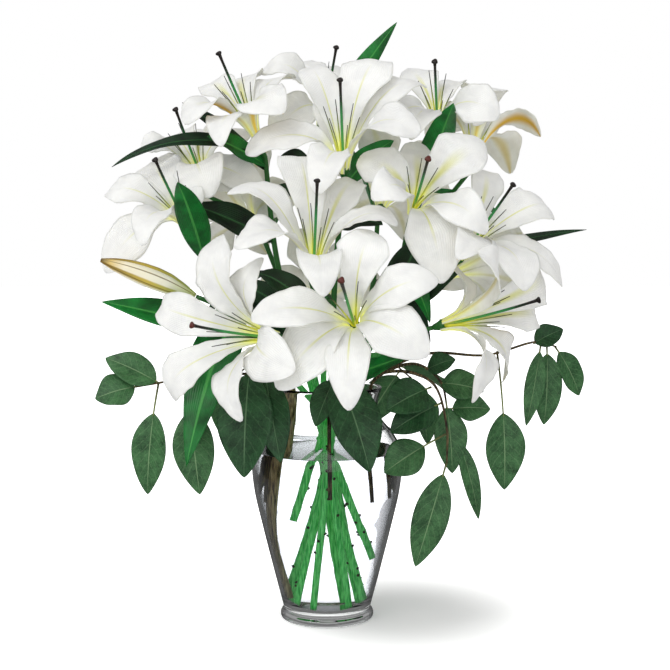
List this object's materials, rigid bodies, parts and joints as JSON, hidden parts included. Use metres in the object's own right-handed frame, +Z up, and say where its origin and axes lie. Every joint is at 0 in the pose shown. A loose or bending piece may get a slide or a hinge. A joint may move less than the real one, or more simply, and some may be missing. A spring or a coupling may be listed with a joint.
{
  "type": "lilies in a vase",
  "caption": "Bouquet of white lilies with lance-shaped leaves and drooping foliage sprays, standing in a footed clear glass urn vase with water.",
  "frame": {"origin": "centre of the foot, on the table", "axes": "+Z up along the vase's axis; the bouquet's front faces -Y, +X to its right seen from the front"},
  "size_m": [0.5326, 0.4557, 0.6781],
  "materials": {
    "glass": "clear polished",
    "water": "clear water",
    "green_stem": "waxy green leaf and stem",
    "dark_leaf": "dull dark green leaf on brown twig",
    "white_petal": "soft satin petal",
    "pistil_green": "satin yellow green, dark tips",
    "bud_cream": "soft satin bud"
  },
  "bodies": {
    "root": {"bud_1": "bud_cream", "bud_2": "bud_cream", "foliage_1": "dark_leaf", "foliage_2": "dark_leaf", "foliage_3": "dark_leaf", "foliage_4": "dark_leaf", "foliage_5": "dark_leaf", "foliage_6": "dark_leaf", "foliage_7": "dark_leaf", "foliage_8": "dark_leaf", "petals_a": "white_petal", "petals_b": "white_petal", "petals_c": "white_petal", "petals_d": "white_petal", "petals_e": "white_petal", "petals_f": "white_petal", "petals_g": "white_petal", "petals_h": "white_petal", "petals_i": "white_petal", "petals_j": "white_petal", "petals_k": "white_petal", "petals_l": "white_petal", "petals_m": "white_petal", "petals_p": "white_petal", "petals_q": "white_petal", "petals_r": "white_petal", "petals_s": "white_petal", "stamens_a": "pistil_green", "stamens_b": "pistil_green", "stamens_c": "pistil_green", "stamens_d": "pistil_green", "stamens_e": "pistil_green", "stamens_f": "pistil_green", "stamens_g": "pistil_green", "stamens_h": "pistil_green", "stamens_i": "pistil_green", "stamens_j": "pistil_green", "stamens_k": "pistil_green", "stamens_l": "pistil_green", "stamens_m": "pistil_green", "stamens_p": "pistil_green", "stamens_q": "pistil_green", "stamens_r": "pistil_green", "stamens_s": "pistil_green", "stem_1": "green_stem", "stem_10": "green_stem", "stem_2": "green_stem", "stem_3": "green_stem", "stem_4": "green_stem", "stem_5": "green_stem", "stem_6": "green_stem", "stem_7": "green_stem", "stem_8": "green_stem", "stem_9": "green_stem", "vase": "glass", "water": "water"}
  },
  "joints": []
}
